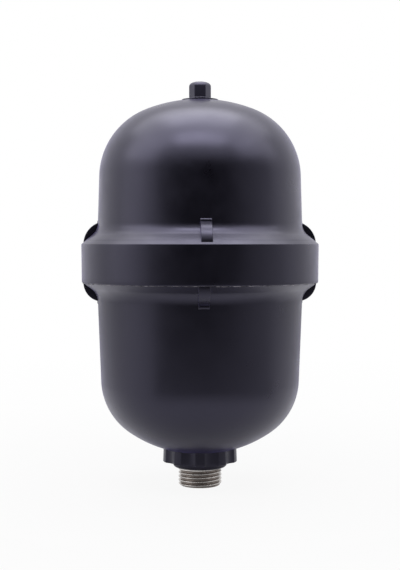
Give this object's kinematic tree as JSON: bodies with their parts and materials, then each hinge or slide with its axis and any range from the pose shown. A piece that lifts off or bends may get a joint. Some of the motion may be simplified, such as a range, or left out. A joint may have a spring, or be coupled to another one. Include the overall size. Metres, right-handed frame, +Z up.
{
  "type": "expansion tank",
  "caption": "Small round expansion tank: two domed plastic halves welded at a waist band, capped air valve on top, metal screw port with a lobed grip collar below.",
  "frame": {"origin": "on the tank's axis at the shoulder where the port thread begins, the plane that seats on the pipe fitting", "axes": "+Z up along the tank's axis from the port to the air valve, -Y towards the viewer of the picture"},
  "size_m": [0.1156, 0.1156, 0.1968],
  "materials": {
    "shell_plastic": "satin moulded",
    "collar_plastic": "satin moulded",
    "cap_plastic": "satin moulded",
    "ring_plastic": "plain moulded",
    "diaphragm_rubber": "matte",
    "seal_rubber": "matte",
    "port_metal": "turned, bright",
    "valve_brass": "turned",
    "spring_steel": "bright wire"
  },
  "bodies": {
    "tank": {"upper_shell": "shell_plastic", "lower_shell": "shell_plastic", "diaphragm": "diaphragm_rubber", "clamp_ring": "ring_plastic", "connector": "port_metal", "connector_seal": "seal_rubber", "port_collar": "collar_plastic", "valve_body": "valve_brass", "valve_seal": "seal_rubber", "core_plug": "valve_brass", "core_barrel": "valve_brass", "core_barrel_seal": "seal_rubber", "core_spring": "spring_steel"},
    "valve_pin": {"core_pin": "valve_brass", "core_cup": "valve_brass", "core_cup_seal": "seal_rubber"},
    "cap_carrier": {"cap_seal": "seal_rubber"},
    "cap": {"valve_cap": "cap_plastic"}
  },
  "joints": [
    {"name": "pin_press", "type": "slide", "parent": "tank", "child": "valve_pin", "axis": [0, 0, -1], "range_m": [0, 0.0012], "stiffness_N_per_m": 3, "springref_m": -0.0015, "deforming": ["core_spring"]},
    {"name": "cap_lift", "type": "slide", "parent": "tank", "child": "cap_carrier", "axis": [0, 0, 1], "range_m": [0, 0.00396]},
    {"name": "cap_turn", "type": "hinge", "parent": "cap_carrier", "child": "cap", "pos_m": [0, 0, 0.184], "axis": [0, 0, 1], "range_deg": [0, 1800]}
  ],
  "couplings": [
    {"joint": "cap_turn", "follows": "cap_lift", "rad_per_m": 7915.8}
  ]
}
